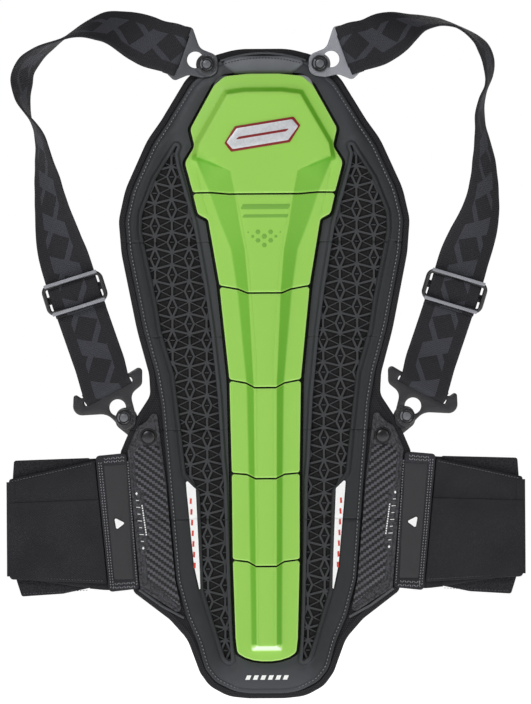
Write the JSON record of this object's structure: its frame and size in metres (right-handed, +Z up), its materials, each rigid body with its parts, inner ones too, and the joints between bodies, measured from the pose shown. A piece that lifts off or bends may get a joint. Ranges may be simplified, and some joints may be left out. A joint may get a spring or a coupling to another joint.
{
  "type": "back protector",
  "caption": "Articulated back protector: overlapping armour plates on a vented foam board, with clip-on shoulder straps and a folding elastic waist belt.",
  "frame": {"origin": "on the flat back face, at the middle of segment 4, on the plane of symmetry", "axes": "+Z up the spine, +Y towards the wearer, -Y the outer plate side, +X to the right as seen from the plates"},
  "size_m": [0.3988, 0.0503, 0.536],
  "materials": {
    "foam": "quilted mesh over foam",
    "cover": "moulded laminated textile, satin",
    "grid": "moulded matt",
    "plate": "lime green satin plastic",
    "core": "honeycomb foil",
    "fitting": "satin moulded plastic",
    "clip": "satin moulded plastic",
    "snap": "domed painted cap",
    "webbing": "woven webbing",
    "wing": "twill weave panel",
    "belt": "elastic twill",
    "hook": "hook and loop"
  },
  "bodies": {
    "segment_1": {"pad_1": "foam", "cover_1": "cover", "vent_grid_1": "grid", "plate_1": "plate", "core_1": "core", "shoulder_yoke": "fitting", "collar_pad": "cover", "left_upper_webbing": "webbing", "right_upper_webbing": "webbing", "upper_sewn_ends": "webbing"},
    "segment_2": {"pad_2": "foam", "cover_2": "cover", "vent_grid_2": "grid", "plate_2": "plate", "core_2": "core"},
    "segment_3": {"pad_3": "foam", "cover_3": "cover", "vent_grid_3": "grid", "plate_3": "plate", "core_3": "core"},
    "segment_4": {"pad_4": "foam", "cover_4": "cover", "vent_grid_4": "grid", "plate_4": "plate", "core_4": "core", "left_side_arm": "fitting", "right_side_arm": "fitting", "snap_caps": "snap", "left_wing_top": "wing", "right_wing_top": "wing", "left_lower_webbing": "webbing", "right_lower_webbing": "webbing", "lower_sewn_ends": "webbing"},
    "segment_5": {"pad_5": "foam", "cover_5": "cover", "vent_grid_5": "grid", "plate_5": "plate", "core_5": "core", "left_wing_middle": "wing", "right_wing_middle": "wing"},
    "segment_6": {"pad_6": "foam", "cover_6": "cover", "vent_grid_6": "grid", "plate_6": "plate", "core_6": "core", "wing_tips": "wing"},
    "left_upper_clip": {"left_upper_clip": "clip"},
    "left_lower_clip": {"left_lower_clip": "clip"},
    "left_adjuster": {"left_adjuster": "clip"},
    "left_belt_tab": {"left_belt_tab": "belt"},
    "left_belt_band": {"left_belt_band": "belt"},
    "left_belt_middle": {"left_belt_middle": "belt"},
    "left_belt_end": {"left_belt_end": "hook"},
    "right_upper_clip": {"right_upper_clip": "clip"},
    "right_lower_clip": {"right_lower_clip": "clip"},
    "right_adjuster": {"right_adjuster": "clip"},
    "right_belt_tab": {"right_belt_tab": "belt"},
    "right_belt_band": {"right_belt_band": "belt"},
    "right_belt_middle": {"right_belt_middle": "belt"},
    "right_belt_end": {"right_belt_end": "hook"}
  },
  "joints": [
    {"name": "flex_34", "type": "hinge", "parent": "segment_4", "child": "segment_3", "pos_m": [0, 0, 0.0367], "axis": [-1, 0, 0], "range_deg": [0, 5], "stiffness_Nm_per_rad": 2},
    {"name": "flex_23", "type": "hinge", "parent": "segment_3", "child": "segment_2", "pos_m": [0, 0, 0.1095], "axis": [-1, 0, 0], "range_deg": [0, 5], "stiffness_Nm_per_rad": 2},
    {"name": "flex_12", "type": "hinge", "parent": "segment_2", "child": "segment_1", "pos_m": [0, 0, 0.1838], "axis": [-1, 0, 0], "range_deg": [0, 5], "stiffness_Nm_per_rad": 2},
    {"name": "flex_45", "type": "hinge", "parent": "segment_4", "child": "segment_5", "pos_m": [0, 0, -0.0344], "axis": [1, 0, 0], "range_deg": [0, 5], "stiffness_Nm_per_rad": 2},
    {"name": "flex_56", "type": "hinge", "parent": "segment_5", "child": "segment_6", "pos_m": [0, 0, -0.1017], "axis": [1, 0, 0], "range_deg": [0, 5], "stiffness_Nm_per_rad": 2},
    {"name": "left_upper_clip_swivel", "type": "hinge", "parent": "segment_1", "child": "left_upper_clip", "pos_m": [-0.0438, -0.0138, 0.2842], "axis": [0, -1, 0], "range_deg": [-20, 20], "deforming": ["upper_sewn_ends"]},
    {"name": "left_lower_clip_swivel", "type": "hinge", "parent": "segment_4", "child": "left_lower_clip", "pos_m": [-0.1096, -0.0088, 0.0109], "axis": [0, -1, 0], "range_deg": [-7, 15], "deforming": ["lower_sewn_ends"]},
    {"name": "left_adjuster_slide", "type": "slide", "parent": "segment_4", "child": "left_adjuster", "axis": [0.3265, 0, -0.9452], "range_m": [0, 0.04]},
    {"name": "left_tab_slide", "type": "slide", "parent": "segment_5", "child": "left_belt_tab", "axis": [0.0901, 0, -0.9959], "range_m": [-0.015, 0.015]},
    {"name": "left_belt_wrap", "type": "hinge", "parent": "left_belt_tab", "child": "left_belt_band", "pos_m": [-0.132, -0.0095, -0.0219], "axis": [0.0947, 0, -0.9955], "range_deg": [0, 90]},
    {"name": "left_belt_unfold", "type": "hinge", "parent": "left_belt_band", "child": "left_belt_middle", "pos_m": [-0.1998, -0.0096, -0.075], "axis": [0, 0, 1], "range_deg": [0, 170]},
    {"name": "left_belt_end_unfold", "type": "hinge", "parent": "left_belt_middle", "child": "left_belt_end", "pos_m": [-0.1352, -0.0067, -0.075], "axis": [0, 0, -1], "range_deg": [0, 170]},
    {"name": "right_upper_clip_swivel", "type": "hinge", "parent": "segment_1", "child": "right_upper_clip", "pos_m": [0.0438, -0.0138, 0.2842], "axis": [0, 1, 0], "range_deg": [-20, 20], "deforming": ["upper_sewn_ends"]},
    {"name": "right_lower_clip_swivel", "type": "hinge", "parent": "segment_4", "child": "right_lower_clip", "pos_m": [0.1096, -0.0088, 0.0109], "axis": [0, 1, 0], "range_deg": [-7, 15], "deforming": ["lower_sewn_ends"]},
    {"name": "right_adjuster_slide", "type": "slide", "parent": "segment_4", "child": "right_adjuster", "axis": [-0.3265, 0, -0.9452], "range_m": [0, 0.04]},
    {"name": "right_tab_slide", "type": "slide", "parent": "segment_5", "child": "right_belt_tab", "axis": [-0.0901, 0, -0.9959], "range_m": [-0.015, 0.015]},
    {"name": "right_belt_wrap", "type": "hinge", "parent": "right_belt_tab", "child": "right_belt_band", "pos_m": [0.132, -0.0095, -0.0219], "axis": [0.0947, 0, 0.9955], "range_deg": [0, 90]},
    {"name": "right_belt_unfold", "type": "hinge", "parent": "right_belt_band", "child": "right_belt_middle", "pos_m": [0.1998, -0.0096, -0.075], "axis": [0, 0, -1], "range_deg": [0, 170]},
    {"name": "right_belt_end_unfold", "type": "hinge", "parent": "right_belt_middle", "child": "right_belt_end", "pos_m": [0.1352, -0.0067, -0.075], "axis": [0, 0, 1], "range_deg": [0, 170]}
  ],
  "couplings": [
    {"joint": "flex_23", "follows": "flex_34", "ratio": 1},
    {"joint": "flex_12", "follows": "flex_34", "ratio": 1},
    {"joint": "flex_45", "follows": "flex_34", "ratio": 1},
    {"joint": "flex_56", "follows": "flex_34", "ratio": 1},
    {"joint": "left_belt_end_unfold", "follows": "left_belt_unfold", "ratio": 1},
    {"joint": "right_belt_end_unfold", "follows": "right_belt_unfold", "ratio": 1}
  ]
}
